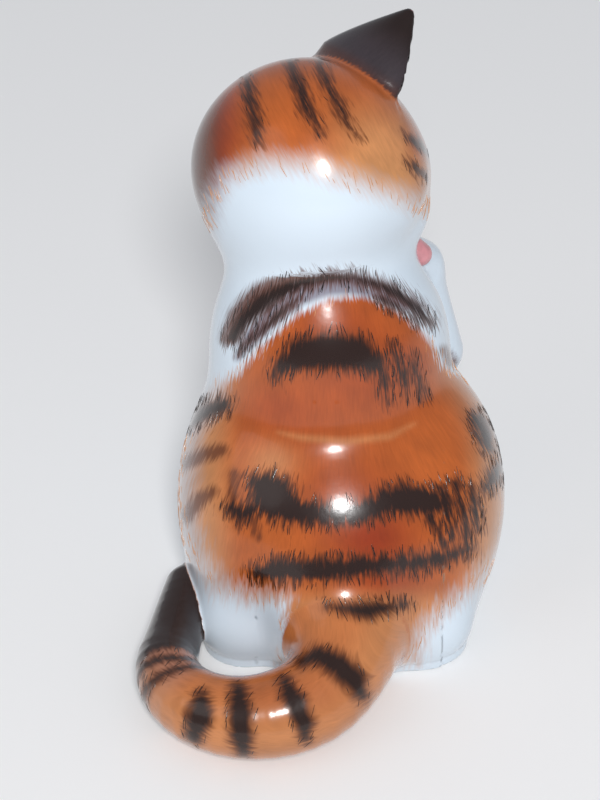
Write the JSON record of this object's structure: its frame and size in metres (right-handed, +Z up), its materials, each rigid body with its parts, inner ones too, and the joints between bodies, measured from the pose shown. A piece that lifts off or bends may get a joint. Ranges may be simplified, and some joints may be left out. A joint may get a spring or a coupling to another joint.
{
  "type": "cat figurine",
  "caption": "Small glazed ceramic figurine of a seated tabby kitten licking its raised forepaw, tail curled on the ground behind it.",
  "frame": {"origin": "middle of the ground foot face under the body", "axes": "+Z up, +X toward the kitten's left side, -Y toward its chest"},
  "size_m": [0.0358, 0.0553, 0.0563],
  "materials": {
    "glazed_body": "clear gloss glaze over hand painting",
    "glazed_head": "clear gloss glaze over hand painting",
    "glazed_dark": "clear gloss glaze over hand painting",
    "glazed_white": "clear gloss glaze over hand painting",
    "glazed_tail": "clear gloss glaze over hand painting",
    "glazed_pink": "clear gloss glaze over hand painting"
  },
  "bodies": {
    "root": {"torso": "glazed_body", "head": "glazed_head", "left_ear": "glazed_dark", "right_ear": "glazed_dark", "raised_foreleg": "glazed_white", "standing_foreleg": "glazed_white", "tail": "glazed_tail", "tongue": "glazed_pink"}
  },
  "joints": []
}
